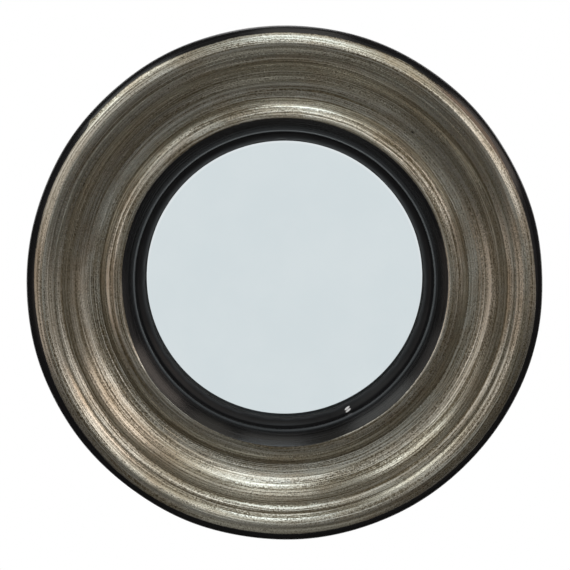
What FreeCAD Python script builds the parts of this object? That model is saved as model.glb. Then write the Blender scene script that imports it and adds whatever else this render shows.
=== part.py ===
import FreeCAD, Part
import os
import re

import Sketcher

# Convex butlers mirror, millimetres. Every piece is drawn as it lies on the bench, face up: its own X runs across
# the mirror, its own Y up the hung mirror and its own Z out of the wall, from the frame's back face to the viewer.
# UPRIGHT then stands it on edge as it hangs: the mirror looks along -Y, +Z is up, and the origin is the point of
# the wall behind the mirror's centre.

SIZES = {
    # the face of the frame, from the mirror outwards: widths across the mirror
    "sight_radius": 108.0,
    "slip_face_width": 5.6,
    "slip_gap": 1.2,
    "lip_bevel_width": 2.3,
    "black_roll_width": 10.9,
    "reed_width": 5.4,
    "shoulder_width": 9.4,
    "fillet_width": 4.6,
    "cove_width": 24.8,
    "bead_width": 5.5,
    "roll_inner_width": 7.7,
    "roll_outer_width": 14.6,
    "side_taper": 6.0,
    # the same face: how far each member rises or drops
    "rebate_depth": 7.0,
    "lip_thickness": 5.0,
    "lip_bevel_rise": 3.5,
    "black_roll_rise": 12.5,
    "reed_drop": 1.6,
    "shoulder_drop": 4.4,
    "fillet_drop": 1.0,
    "cove_rise": 20.0,
    "bead_drop": 0.5,
    "roll_rise": 7.5,
    # how far each curved member stands off the straight line between its ends
    "black_roll_crown": 2.6,
    "reed_crown": 0.9,
    "shoulder_crown": 1.2,
    "fillet_hollow": 0.45,
    "cove_hollow": 6.4,
    "bead_crown": 2.0,
    "roll_inner_crown": 2.6,
    "side_crown": 1.2,
    # slip, glass and what holds it
    "slip_flange": 4.2,
    "slip_nose": 3.0,
    "slip_nose_land": 0.8,
    "slip_face_drop": 7.5,
    "slip_face_crown": 0.7,
    "slip_edge_thickness": 1.2,
    "slip_wall_depth": 13.0,
    "slip_rebate_clearance": 0.3,
    "glass_cover": 6.3,
    "glass_edge_clearance": 1.0,
    "glass_curve_radius": 420.0,
    "glass_thickness": 3.0,
    "gasket_thickness": 0.8,
    "gasket_clearance": 0.1,
    "packing_width": 10.0,
    # back ring and board
    "ring_thickness": 12.0,
    "ring_setback": 3.0,
    "ring_edge_chamfer": 2.0,
    "board_thickness": 3.0,
    "board_margin": 28.5,
    "board_cover": 7.5,
    "board_clearance": 0.5,
    "ring_screw_count": 8,
    "ring_screw_offset": 13.0,
    "ring_screw_radius": 2.0,
    "ring_screw_head_radius": 4.0,
    "ring_screw_length": 25.0,
    "ring_screw_recess": 0.25,
    "screw_clearance": 0.05,
    "screw_tip_gap": 1.0,
    # turn buttons
    "button_count": 6,
    "pivot_setback": 9.0,
    "button_cover": 10.5,
    "button_width": 10.0,
    "button_thickness": 1.2,
    "button_play": 0.3,
    "button_screw_radius": 1.75,
    "button_screw_head_radius": 3.5,
    "button_screw_head_height": 2.2,
    "button_screw_depth": 9.0,
    "pivot_running_gap": 0.1,
    # hanger
    "eye_inset": 13.0,
    "strap_width": 14.0,
    "strap_thickness": 1.2,
    "strap_length": 29.0,
    "strap_corner_radius": 3.0,
    "hanger_screw_first": 8.0,
    "hanger_screw_pitch": 13.0,
    "hanger_screw_radius": 1.6,
    "hanger_screw_head_radius": 2.9,
    "hanger_screw_head_height": 2.0,
    "hanger_screw_depth": 18.0,
    "ring_wire_radius": 1.5,
    "ring_side_gap": 0.5,
    "ring_corner_radius": 3.0,
    "ring_joint_gap": 0.4,
    # bumpers
    "bumper_count": 4,
    "bumper_offset": 21.0,
    "bumper_radius": 6.0,
    "bumper_height": 6.0,
    "bumper_shoulder": 3.2,
    "bumper_tip_radius": 3.6,
    "bumper_crown": 0.9,
}

# Stations across the face, as distances from the mirror's axis.
SLIP_NOSE = "sight_radius + slip_face_width"
LIP = SLIP_NOSE + " + slip_gap"
ARRIS = LIP + " + lip_bevel_width"
CREST = ARRIS + " + black_roll_width"
REED_FOOT = CREST + " + reed_width"
SHOULDER_FOOT = REED_FOOT + " + shoulder_width"
VALLEY = SHOULDER_FOOT + " + fillet_width"
COVE_TOP = VALLEY + " + cove_width"
QUIRK = COVE_TOP + " + bead_width"
ROLL_TOP = QUIRK + " + roll_inner_width"
RIM = ROLL_TOP + " + roll_outer_width"
SIDE_FOOT = RIM + " - side_taper"

# Heights of the same stations above the frame's back face.
LEDGE_Z = "ring_thickness + rebate_depth"
LIP_Z = LEDGE_Z + " + lip_thickness"
ARRIS_Z = LIP_Z + " + lip_bevel_rise"
CREST_Z = ARRIS_Z + " + black_roll_rise"
REED_FOOT_Z = CREST_Z + " - reed_drop"
SHOULDER_FOOT_Z = REED_FOOT_Z + " - shoulder_drop"
VALLEY_Z = SHOULDER_FOOT_Z + " - fillet_drop"
COVE_TOP_Z = VALLEY_Z + " + cove_rise"
QUIRK_Z = COVE_TOP_Z + " - bead_drop"
ROLL_TOP_Z = QUIRK_Z + " + roll_rise"
RIM_Z = ROLL_TOP_Z + " - roll_outer_width"

# Slip and glass. The glass is a shell between two spheres about one centre, and the slip's underside and the
# gasket follow the same spheres.
SLIP_OUTER = LIP + " + slip_flange"
SLIP_NOSE_Z = LEDGE_Z + " + slip_nose"
SIGHT_Z = SLIP_NOSE_Z + " - slip_face_drop"
SIGHT_UNDER_Z = SIGHT_Z + " - slip_edge_thickness"
SLIP_BOTTOM_Z = LEDGE_Z + " - slip_wall_depth"
GLASS_RADIUS = "sight_radius + glass_cover"
SLIP_BORE = GLASS_RADIUS + " + glass_edge_clearance"
SLIP_SPHERE = "glass_curve_radius + gasket_thickness + 2 * gasket_clearance"
GASKET_TOP_SPHERE = "glass_curve_radius + gasket_thickness + gasket_clearance"
GASKET_UNDER_SPHERE = "glass_curve_radius + gasket_clearance"
GLASS_BACK_SPHERE = "glass_curve_radius - glass_thickness"
PACKING_SPHERE = GLASS_BACK_SPHERE + " - gasket_clearance"
SPHERE_CENTRE_Z = f"{SIGHT_UNDER_Z} - sqrt(({SLIP_SPHERE})^2 - sight_radius^2)"

# Board, ring and what stands on the ring.
BOARD = SLIP_OUTER + " + board_margin"
RING_LEDGE = BOARD + " - board_cover"
RING_REBATE = BOARD + " + board_clearance"
RING_OUTER = SIDE_FOOT + " - ring_setback"
PIVOT = RING_REBATE + " + pivot_setback"
RING_SCREW = PIVOT + " + ring_screw_offset"
BUMPER = PIVOT + " + bumper_offset"
EYE = RING_OUTER + " - eye_inset"
EYE_BORE = "ring_wire_radius + pivot_running_gap"
EYE_DEPTH = f"strap_thickness + {EYE_BORE}"
BUTTON_ARM = "pivot_setback + board_clearance + button_cover"

# Angles in degrees.
FULL_TURN = 360
RING_SCREW_ANGLE = 22.5
BUMPER_ANGLE = 45
# The crown of a quarter circle, as a share of its radius.
QUARTER = "(1 - sqrt(0.5))"
UPRIGHT = FreeCAD.Rotation(FreeCAD.Vector(1, 0, 0), 90)

document = FreeCAD.newDocument("ConvexMirror")
sheet = document.addObject("Spreadsheet::Sheet", "Sizes")
for row, (size_name, size_value) in enumerate(SIZES.items(), start=1):
    sheet.set(f"A{row}", size_name)
    sheet.set(f"B{row}", str(size_value))
    sheet.setAlias(f"B{row}", size_name)
document.recompute()

pieces = []


def bound(text):
    """The same formula with every size read from the sheet."""
    return re.sub(r"[a-z_]+", lambda word: "Sizes." + word[0] if word[0] in SIZES else word[0], text)


def value(text):
    """What a formula of sizes comes to now."""
    return float(sheet.evalExpression(bound(text)))


def new_body(label, across="0", up="0", depth="0", turn=0.0):
    """An empty piece. across, up and depth are its place on the lying mirror; turn is about its own Z."""
    body = document.addObject("PartDesign::Body", label)
    body.Label = label
    body.Placement = FreeCAD.Placement(
        FreeCAD.Vector(), UPRIGHT.multiply(FreeCAD.Rotation(FreeCAD.Vector(0, 0, 1), turn))
    )
    body.setExpression("Placement.Base.x", bound(across))
    body.setExpression("Placement.Base.y", bound(f"-(bumper_height) - ({depth})"))
    body.setExpression("Placement.Base.z", bound(up))
    pieces.append(body)
    return body


def new_sketch(body, name, plane, offset=("0", "0", "0")):
    """A sketch on one of the body's own planes, moved by offset in the sketch's own directions."""
    sketch = body.newObject("Sketcher::SketchObject", f"{body.Label}_{name}")
    support = next(item for item in body.Origin.OriginFeatures if item.Role == plane)
    sketch.AttachmentSupport = [(support, "")]
    sketch.MapMode = "FlatFace"
    for letter, amount in zip("xyz", offset):
        sketch.setExpression(f"AttachmentOffset.Base.{letter}", bound(amount))
    return sketch


def add_constraint(sketch, formula, *arguments):
    """A dimension of the sketch that follows a formula of sizes."""
    index = sketch.addConstraint(Sketcher.Constraint(*arguments, value(formula)))
    sketch.setExpression(f"Constraints[{index}]", bound(formula))


def draw_outline(sketch, corners, closed=True):
    """Lines and arcs from corner to corner. A corner is (x, y) or (x, y, crown): the edge that leaves it is then
    an arc that stands off its chord by crown, to the right of the way it runs if crown is positive."""
    points = [FreeCAD.Vector(value(corner[0]), value(corner[1]), 0) for corner in corners]
    edge_count = len(corners) if closed else len(corners) - 1
    ends = []
    for start in range(edge_count):
        finish = (start + 1) % len(corners)
        here, there = points[start], points[finish]
        if len(corners[start]) == 2:
            edge = sketch.addGeometry(Part.LineSegment(here, there))
        else:
            crown = corners[start][2]
            chord = there - here
            side = FreeCAD.Vector(chord.y, -chord.x, 0).normalize()
            middle = (here + there) * 0.5 + side * value(crown)
            edge = sketch.addGeometry(Part.Arc(here, middle, there))
            width = f"(({corners[finish][0]}) - ({corners[start][0]}))"
            height = f"(({corners[finish][1]}) - ({corners[start][1]}))"
            stand_off = f"abs({crown})"
            radius = f"({width}^2 + {height}^2) / (8 * {stand_off}) + {stand_off} / 2"
            add_constraint(sketch, radius, "Radius", edge)
        starts_first = (sketch.getPoint(edge, 1) - here).Length < (sketch.getPoint(edge, 2) - here).Length
        ends.append((edge, 1, 2) if starts_first else (edge, 2, 1))
    for number, (edge, first, last) in enumerate(ends):
        add_constraint(sketch, corners[number][0], "DistanceX", -1, 1, edge, first)
        add_constraint(sketch, corners[number][1], "DistanceY", -1, 1, edge, first)
        if closed or number + 1 < edge_count:
            following = ends[(number + 1) % edge_count]
            sketch.addConstraint(Sketcher.Constraint("Coincident", edge, last, following[0], following[1]))
    if not closed:
        edge, _, last = ends[-1]
        add_constraint(sketch, corners[-1][0], "DistanceX", -1, 1, edge, last)
        add_constraint(sketch, corners[-1][1], "DistanceY", -1, 1, edge, last)


def draw_circle(sketch, across, up, radius):
    centre = FreeCAD.Vector(value(across), value(up), 0)
    circle = sketch.addGeometry(Part.Circle(centre, FreeCAD.Vector(0, 0, 1), value(radius)))
    add_constraint(sketch, across, "DistanceX", -1, 1, circle, 3)
    add_constraint(sketch, up, "DistanceY", -1, 1, circle, 3)
    add_constraint(sketch, radius, "Radius", circle)


def turn_on_lathe(body, name, corners, from_axis="0"):
    """A turned solid: corners are (distance from the axis, height). from_axis moves the whole lathe axis out."""
    sketch = new_sketch(body, f"{name}_profile", "XZ_Plane", (from_axis, "0", "0"))
    draw_outline(sketch, corners)
    turned = body.newObject("PartDesign::Revolution", f"{body.Label}_{name}")
    turned.Profile = sketch
    turned.ReferenceAxis = (sketch, ["V_Axis"])
    turned.Angle = FULL_TURN
    sketch.Visibility = False
    document.recompute()
    return turned


def pad(body, sketch, name, length, symmetric=False):
    solid = body.newObject("PartDesign::Pad", f"{body.Label}_{name}")
    solid.Profile = sketch
    solid.SideType = "Symmetric" if symmetric else "One side"
    solid.setExpression("Length", bound(length))
    document.recompute()
    return solid


def pocket(body, sketch, name, depth, towards_front=True, symmetric=False):
    """A cut that must take material away."""
    before = body.Shape.Volume
    cut = body.newObject("PartDesign::Pocket", f"{body.Label}_{name}")
    cut.Profile = sketch
    cut.SideType = "Symmetric" if symmetric else "One side"
    cut.Reversed = towards_front
    cut.setExpression("Length", bound(depth))
    document.recompute()
    if body.Shape.Volume >= before:
        raise ValueError(f"{cut.Label} cuts nothing")
    return cut


def repeat_round(body, feature, count):
    """Equally spaced copies of a feature round the body's own Z."""
    pattern = body.newObject("PartDesign::PolarPattern", f"{feature.Label}_round")
    pattern.Originals = [feature]
    pattern.Axis = (next(item for item in body.Origin.OriginFeatures if item.Role == "Z_Axis"), [""])
    pattern.Angle = FULL_TURN
    pattern.setExpression("Occurrences", bound(count))
    body.Tip = pattern
    document.recompute()
    return pattern


def drill(body, name, centres, radius, start, depth, count=None):
    """Bores parallel to the axis, from start towards the front, repeated round the ring if count is given."""
    sketch = new_sketch(body, f"{name}_centres", "XY_Plane", ("0", "0", start))
    for across, up in centres:
        draw_circle(sketch, across, up, radius)
    bores = pocket(body, sketch, name, depth)
    if count:
        before = body.Shape.Volume
        repeat_round(body, bores, count)
        if body.Shape.Volume >= before:
            raise ValueError(f"{name} isn't repeated")


def at_angle(radius, degrees):
    return (f"({radius}) * cos({degrees})", f"({radius}) * sin({degrees})")


def hanger_screw_centres(eye):
    """The strap's two screws, below the eye."""
    first = f"{eye} - hanger_screw_first"
    return [("0", first), ("0", f"{first} - hanger_screw_pitch")]


def make_front_moulding():
    """The turned frame in one piece, with the rebate for the slip and the pilot bores behind."""
    body = new_body("front_moulding")
    rebate = f"{SLIP_OUTER} + slip_rebate_clearance"
    turn_on_lathe(body, "turning", [
        (rebate, "ring_thickness"),
        (SIDE_FOOT, "ring_thickness", "side_crown"),
        (RIM, RIM_Z, f"roll_outer_width * {QUARTER}"),
        (ROLL_TOP, ROLL_TOP_Z, "roll_inner_crown"),
        (QUIRK, QUIRK_Z, "bead_crown"),
        (COVE_TOP, COVE_TOP_Z, "-cove_hollow"),
        (VALLEY, VALLEY_Z, "-fillet_hollow"),
        (SHOULDER_FOOT, SHOULDER_FOOT_Z, "shoulder_crown"),
        (REED_FOOT, REED_FOOT_Z, "reed_crown"),
        (CREST, CREST_Z, "black_roll_crown"),
        (ARRIS, ARRIS_Z),
        (LIP, LIP_Z),
        (LIP, LEDGE_Z),
        (rebate, LEDGE_Z),
    ])
    drill(
        body, "ring_screw_pilots", [at_angle(RING_SCREW, RING_SCREW_ANGLE)],
        "ring_screw_radius + screw_clearance", "ring_thickness",
        "ring_screw_length + screw_tip_gap - ring_thickness", "ring_screw_count",
    )
    drill(
        body, "hanger_screw_pilots", hanger_screw_centres(EYE), "hanger_screw_radius + screw_clearance",
        "ring_thickness", "hanger_screw_depth + screw_tip_gap - ring_thickness",
    )


def make_sight_slip():
    """The narrow black ring round the glass: flange under the lip, raised nose, and a sloping face down to a thin
    edge over the glass."""
    body = new_body("sight_slip")
    under_rim_z = f"{SPHERE_CENTRE_Z} + sqrt(({SLIP_SPHERE})^2 - ({SLIP_BORE})^2)"
    turn_on_lathe(body, "turning", [
        (SLIP_BORE, SLIP_BOTTOM_Z),
        (SLIP_OUTER, SLIP_BOTTOM_Z),
        (SLIP_OUTER, LEDGE_Z),
        (SLIP_NOSE, LEDGE_Z),
        (SLIP_NOSE, SLIP_NOSE_Z),
        (f"{SLIP_NOSE} - slip_nose_land", SLIP_NOSE_Z, "slip_face_crown"),
        ("sight_radius", SIGHT_Z),
        ("sight_radius", SIGHT_UNDER_Z),
        (SLIP_BORE, under_rim_z),
    ])


def sphere_height(sphere, from_axis):
    return f"{SPHERE_CENTRE_Z} + sqrt(({sphere})^2 - ({from_axis})^2)"


def shell_crown(sphere, inner, outer):
    """How far a sphere stands off the chord between two distances from the axis."""
    half_chord = (
        f"sqrt((({outer}) - ({inner}))^2 + (sqrt(({sphere})^2 - ({inner})^2) - sqrt(({sphere})^2 - ({outer})^2))^2)"
        " / 2"
    )
    return f"{sphere} - sqrt(({sphere})^2 - ({half_chord})^2)"


def make_mirror_glass():
    """A round blank bent to a sphere, silvered behind."""
    body = new_body("mirror_glass")
    turn_on_lathe(body, "shell", [
        ("0", sphere_height(GLASS_BACK_SPHERE, "0"), f"-({shell_crown(GLASS_BACK_SPHERE, '0', GLASS_RADIUS)})"),
        (GLASS_RADIUS, sphere_height(GLASS_BACK_SPHERE, GLASS_RADIUS)),
        (GLASS_RADIUS, sphere_height("glass_curve_radius", GLASS_RADIUS),
         shell_crown("glass_curve_radius", "0", GLASS_RADIUS)),
        ("0", sphere_height("glass_curve_radius", "0")),
    ])


def make_glass_gasket():
    """Thin felt ring between the slip and the face of the glass."""
    body = new_body("glass_gasket")
    inner = "sight_radius + gasket_clearance"
    turn_on_lathe(body, "turning", [
        (inner, sphere_height(GASKET_UNDER_SPHERE, inner)),
        (GLASS_RADIUS, sphere_height(GASKET_UNDER_SPHERE, GLASS_RADIUS)),
        (GLASS_RADIUS, sphere_height(GASKET_TOP_SPHERE, GLASS_RADIUS)),
        (inner, sphere_height(GASKET_TOP_SPHERE, inner)),
    ])


def make_packing_ring():
    """Cork ring that the backing board presses on the rim of the glass."""
    body = new_body("packing_ring")
    inner = f"{GLASS_RADIUS} - packing_width"
    turn_on_lathe(body, "turning", [
        (inner, "board_thickness"),
        (GLASS_RADIUS, "board_thickness"),
        (GLASS_RADIUS, sphere_height(PACKING_SPHERE, GLASS_RADIUS)),
        (inner, sphere_height(PACKING_SPHERE, inner)),
    ])


def make_back_ring():
    """Flat ring behind the moulding. Its rebate takes the backing board flush."""
    body = new_body("back_ring")
    turn_on_lathe(body, "turning", [
        (RING_REBATE, "0"),
        (f"{RING_OUTER} - ring_edge_chamfer", "0"),
        (RING_OUTER, "ring_edge_chamfer"),
        (RING_OUTER, "ring_thickness"),
        (RING_LEDGE, "ring_thickness"),
        (RING_LEDGE, "board_thickness"),
        (RING_REBATE, "board_thickness"),
    ])
    countersink_radius = "ring_screw_head_radius + ring_screw_recess + screw_clearance"
    sketch = new_sketch(body, "ring_screw_centres", "XY_Plane")
    draw_circle(sketch, *at_angle(RING_SCREW, RING_SCREW_ANGLE), "ring_screw_radius + screw_clearance")
    document.recompute()
    before = body.Shape.Volume
    bore = body.newObject("PartDesign::Hole", "back_ring_screw_bore")
    bore.Profile = sketch
    bore.DepthType = "ThroughAll"
    bore.Reversed = True
    bore.setExpression("Diameter", bound("2 * (ring_screw_radius + screw_clearance)"))
    bore.HoleCutType = "Countersink"
    bore.HoleCutCustomValues = True
    bore.HoleCutCountersinkAngle = 90
    bore.setExpression("HoleCutDiameter", bound(f"2 * ({countersink_radius})"))
    document.recompute()
    if body.Shape.Volume >= before:
        raise ValueError("the ring's screw bore cuts nothing")
    repeat_round(body, bore, "ring_screw_count")
    drill(
        body, "button_screw_pilots", [(PIVOT, "0")], "button_screw_radius + screw_clearance", "0",
        "button_screw_depth + screw_tip_gap", "button_count",
    )
    drill(
        body, "hanger_screw_bores", hanger_screw_centres(EYE), "hanger_screw_radius + screw_clearance", "0",
        "ring_thickness",
    )


def make_backing_board():
    body = new_body("backing_board")
    sketch = new_sketch(body, "outline", "XY_Plane")
    draw_circle(sketch, "0", "0", BOARD)
    pad(body, sketch, "sheet", "board_thickness")


def make_back_ring_screws():
    """Countersunk screws, driven from behind through the ring into the moulding."""
    body = new_body("back_ring_screws", turn=RING_SCREW_ANGLE)
    shank_start = "ring_screw_recess + ring_screw_head_radius - ring_screw_radius"
    screw = turn_on_lathe(body, "screw", [
        ("0", "ring_screw_recess"),
        ("ring_screw_head_radius", "ring_screw_recess"),
        ("ring_screw_radius", shank_start),
        ("ring_screw_radius", "ring_screw_length - ring_screw_radius"),
        ("0", "ring_screw_length"),
    ], RING_SCREW)
    repeat_round(body, screw, "ring_screw_count")


def pan_head_screw(body, head_seat, head_radius, head_height, radius, depth, from_axis):
    """A round-headed wood screw: head behind head_seat, point at depth in front of the frame's back face."""
    return turn_on_lathe(body, "screw", [
        ("0", f"-({head_seat}) - ({head_height})"),
        (f"{head_radius} / 2", f"-({head_seat}) - ({head_height})", f"{head_height} / 5"),
        (head_radius, f"-({head_seat}) - ({head_height}) / 3"),
        (head_radius, f"-({head_seat})"),
        (radius, f"-({head_seat})"),
        (radius, f"{depth} - {radius}"),
        ("0", depth),
    ], from_axis)


def make_turn_button_screws():
    body = new_body("turn_button_screws")
    screw = pan_head_screw(
        body, "2 * button_play + button_thickness", "button_screw_head_radius", "button_screw_head_height",
        "button_screw_radius", "button_screw_depth", PIVOT,
    )
    repeat_round(body, screw, "button_count")


def make_turn_button(number, turn):
    """A flat steel strip with round ends, which turns on its screw. Its own origin is on the screw's axis."""
    across, up = at_angle(PIVOT, turn)
    body = new_body(f"turn_button_{number}", across, up, "-button_play", turn)
    half = "button_width / 2"
    crown = f"{half} * {QUARTER}"
    far_end = f"-({BUTTON_ARM}) + {half}"
    sketch = new_sketch(body, "outline", "XY_Plane")
    draw_outline(sketch, [
        ("0", f"-{half}", crown),
        (half, "0", crown),
        ("0", half),
        (far_end, half, crown),
        (f"-({BUTTON_ARM})", "0", crown),
        (far_end, f"-{half}"),
    ])
    draw_circle(sketch, "0", "0", "button_screw_radius + pivot_running_gap")
    blank = pad(body, sketch, "strip", "button_thickness")
    blank.Reversed = True
    document.recompute()


def make_hanger_strap():
    """A steel strip folded double, with an eye at the fold. Its own origin is level with the eye."""
    body = new_body("hanger_strap", "0", EYE)
    half = "strap_width / 2"
    leaves = new_sketch(body, "leaves_side", "YZ_Plane")
    draw_outline(leaves, [
        ("-strap_length", "0"),
        ("-strap_length", "-2 * strap_thickness"),
        ("0", "-2 * strap_thickness"),
        ("0", "0"),
    ])
    pad(body, leaves, "leaves", "strap_width", symmetric=True)
    eye = new_sketch(body, "eye_side", "YZ_Plane")
    draw_circle(eye, "0", f"-({EYE_DEPTH})", EYE_DEPTH)
    pad(body, eye, "eye", "strap_width", symmetric=True)
    bore = new_sketch(body, "eye_bore_side", "YZ_Plane")
    draw_circle(bore, "0", f"-({EYE_DEPTH})", EYE_BORE)
    pocket(body, bore, "eye_bore", "strap_width", symmetric=True)
    screws = new_sketch(body, "screw_centres", "XY_Plane")
    for across, up in hanger_screw_centres("0"):
        draw_circle(screws, across, up, "hanger_screw_radius + screw_clearance")
    pocket(body, screws, "screw_bores", "2 * strap_thickness", towards_front=False)
    corners = new_sketch(body, "corner_outline", "XY_Plane")
    lower_end = "-strap_length"
    straight_end = "-strap_length + strap_corner_radius"
    straight_side = f"{half} - strap_corner_radius"
    crown = f"strap_corner_radius * {QUARTER}"
    for side in ("", "-"):
        turn = "-" if side == "" else ""
        draw_outline(corners, [
            (f"{side}({half})", lower_end),
            (f"{side}({half})", straight_end, f"{turn}({crown})"),
            (f"{side}({straight_side})", lower_end),
        ])
    pocket(body, corners, "round_corners", "2 * strap_thickness", towards_front=False)


def make_hanger_ring():
    """A D of wire, open for a hair's breadth in the middle of its straight bar, which lies in the strap's eye."""
    body = new_body("hanger_ring", "0", EYE, f"-({EYE_DEPTH})")
    bar_end = "strap_width / 2 + ring_side_gap"
    side = f"{bar_end} + ring_corner_radius"
    half_gap = "ring_joint_gap / 2"
    corner_crown = f"ring_corner_radius * {QUARTER}"
    bow_crown = f"({side}) * {QUARTER}"
    path = new_sketch(body, "wire_path", "XY_Plane")
    draw_outline(path, [
        (half_gap, "0"),
        (bar_end, "0", corner_crown),
        (side, "ring_corner_radius", bow_crown),
        ("0", f"ring_corner_radius + {side}", bow_crown),
        (f"-({side})", "ring_corner_radius", corner_crown),
        (f"-({bar_end})", "0"),
        (f"-({half_gap})", "0"),
    ], closed=False)
    section = new_sketch(body, "wire_section", "YZ_Plane", ("0", "0", half_gap))
    draw_circle(section, "0", "0", "ring_wire_radius")
    wire = body.newObject("PartDesign::AdditivePipe", "hanger_ring_wire")
    wire.Profile = section
    wire.Spine = (path, [f"Edge{number}" for number in range(1, path.GeometryCount + 1)])
    document.recompute()


def make_hanger_screws():
    body = new_body("hanger_screws", "0", f"{EYE} - hanger_screw_first - hanger_screw_pitch")
    screw = pan_head_screw(
        body, "2 * strap_thickness", "hanger_screw_head_radius", "hanger_screw_head_height",
        "hanger_screw_radius", "hanger_screw_depth", "0",
    )
    pattern = body.newObject("PartDesign::LinearPattern", "hanger_screws_pair")
    pattern.Originals = [screw]
    pattern.Direction = (next(item for item in body.Origin.OriginFeatures if item.Role == "Y_Axis"), [""])
    pattern.setExpression("Length", bound("hanger_screw_pitch"))
    pattern.Occurrences = 2
    body.Tip = pattern
    document.recompute()


def make_wall_bumpers():
    """Soft domes between the frame and the wall."""
    body = new_body("wall_bumpers", turn=BUMPER_ANGLE)
    bumper = turn_on_lathe(body, "bumper", [
        ("0", "-bumper_height"),
        ("bumper_tip_radius", "-bumper_height", "bumper_crown"),
        ("bumper_radius", "-bumper_shoulder"),
        ("bumper_radius", "0"),
        ("0", "0"),
    ], BUMPER)
    repeat_round(body, bumper, "bumper_count")


make_front_moulding()
make_sight_slip()
make_mirror_glass()
make_glass_gasket()
make_packing_ring()
make_back_ring()
make_backing_board()
make_back_ring_screws()
make_turn_button_screws()
button_count = int(SIZES["button_count"])
for button in range(button_count):
    make_turn_button(button + 1, FULL_TURN * button / button_count)
make_hanger_strap()
make_hanger_ring()
make_hanger_screws()
make_wall_bumpers()
document.recompute()

for item in document.Objects:
    if any(state in item.State for state in ("Invalid", "Error")):
        raise ValueError(f"{item.Label} failed: {item.State}")
os.makedirs("parts", exist_ok=True)
for piece in pieces:
    if piece.Shape.isNull() or not piece.Shape.isValid():
        raise ValueError(f"{piece.Label} has no valid shape")
    piece.Shape.exportStep(f"parts/{piece.Label}.step")
    print(f"{piece.Label}: {len(piece.Shape.Solids)} solids, {piece.Shape.Volume / 1000:.2f} cm3")
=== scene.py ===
import math

import bpy
import numpy as np
from mathutils import Matrix, Vector


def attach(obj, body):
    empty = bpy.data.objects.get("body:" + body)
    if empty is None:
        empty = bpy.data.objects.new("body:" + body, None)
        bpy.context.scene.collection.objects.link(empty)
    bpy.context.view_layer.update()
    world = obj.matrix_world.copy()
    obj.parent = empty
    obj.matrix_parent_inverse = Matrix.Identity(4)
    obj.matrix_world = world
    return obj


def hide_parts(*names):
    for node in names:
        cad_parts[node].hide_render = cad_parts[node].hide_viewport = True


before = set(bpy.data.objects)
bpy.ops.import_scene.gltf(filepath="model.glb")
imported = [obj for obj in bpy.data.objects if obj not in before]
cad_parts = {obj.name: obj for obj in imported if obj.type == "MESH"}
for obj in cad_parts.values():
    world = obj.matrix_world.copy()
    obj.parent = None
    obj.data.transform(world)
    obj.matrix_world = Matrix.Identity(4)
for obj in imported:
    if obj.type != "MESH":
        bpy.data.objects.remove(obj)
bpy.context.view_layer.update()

MM = 0.001
MM_PER_M = 1000.0

# ----------------------------------------------------------------------------------------------------
# Shapes, in millimetres. Each row of a profile is a corner: its distance from the mirror's axis and its
# height above the frame's back face. Then, for the member that runs from it to the next corner: how far
# it stands off its chord, outwards if positive, and the step between its points.

BACK_Y = -0.006  # the frame's back face, metres
TURNS = 720
ANGLES = np.arange(TURNS) * 2 * math.pi / TURNS
SMOOTH_ANGLE = 35.0
REBATE = 119.3
LEDGE = 19.0
RIM = 200.0
RIM_LIMIT = 199.98  # the rim stays just inside the solids' box
CREST = (187.6, 60.0)
QUIRK = (177.5, 53.3)
REED = (135.4, 38.9)
BLACK_ROLL = (128.0, 40.0)
ARRIS = (117.6, 30.9)
OUTER_PAINT_LINE = (194.2, 57.0)
MOULDING = [
    (REBATE, 12.0, 0.0, 4.0),
    (194.0, 12.0, 1.2, 4.0),
    (RIM, 45.4, 3.9, 0.45),
    (*CREST, 0.9, 0.35),
    (178.6, 55.9, 0.2, 0.3),
    (*QUIRK, 0.3, 0.35),
    (172.2, 51.1, -4.6, 0.32),
    (146.8, 32.5, -0.1, 0.5),
    (142.6, 32.1, 1.1, 0.4),
    (*REED, 0.3, 0.5),
    (*BLACK_ROLL, 0.5, 0.7),
    (*ARRIS, 0.4, 0.9),
    (115.8, 23.2, 0.0, 0.8),
    (115.8, LEDGE, 0.0, 4.0),
    (REBATE, LEDGE, 0.0, 4.0),
]
SLIP = [
    (115.3, 6.0, 0.0, 3.0),
    (119.0, 6.0, 0.0, 3.0),
    (119.0, LEDGE, 0.0, 3.0),
    (114.6, LEDGE, 0.0, 3.0),
    (114.6, 19.2, 0.0, 0.4),
    (114.0, 19.2, 0.6, 0.6),
    (108.3, 13.7, 0.0, 0.6),
    (108.3, 13.3, 0.0, 3.0),
    (115.3, 11.3, 0.0, 3.0),
]

# Turned lines in the moulding: the radius of each groove, its depth and half its width.
TOOL_LINES = [(155.7 + 1.25 * k, 0.11, 0.34) for k in range(5)]
TOOL_LINES += [
    (150.4, 0.06, 0.5),
    (153.1, 0.07, 0.4),
    (163.6, 0.05, 0.6),
    (167.2, 0.05, 0.5),
    (146.6, 0.12, 0.5),
    (136.9, 0.06, 0.45),
    (139.6, 0.06, 0.4),
    (131.2, 0.07, 0.45),
    (188.6, 0.09, 0.4),
    (191.4, 0.12, 0.4),
    (182.0, 0.08, 0.5),
    (180.4, 0.06, 0.4),
    (174.9, 0.05, 0.4),
]

# Where toning has gathered, together with painted shade in the grooves, creases and cove: from one point
# of the profile to another, half the width of its soft edge, and how much of it there is.
HOLLOWS = [
    ((172.0, 50.5), (160.0, 40.0), 2.0, 0.22),
    ((178.5, 55.6), QUIRK, 0.3, 0.45),
    ((172.8, 51.6), (171.8, 50.4), 0.3, 0.75),
    ((136.0, 38.6), (135.0, 39.0), 0.3, 0.6),
    (REED, (129.0, 39.9), 0.8, 0.16),
    ((143.2, 32.2), (142.3, 32.3), 0.35, 0.6),
    ((188.6, 59.8), (187.4, 60.0), 0.5, 0.15),
]

# The bent glass: the height of the centre of its curve, the radius of either face, and its edge.
GLASS_CENTRE = -393.61
GLASS_FRONT = 420.0
GLASS_BACK = 417.0
GLASS_RADIUS = 114.3


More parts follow.
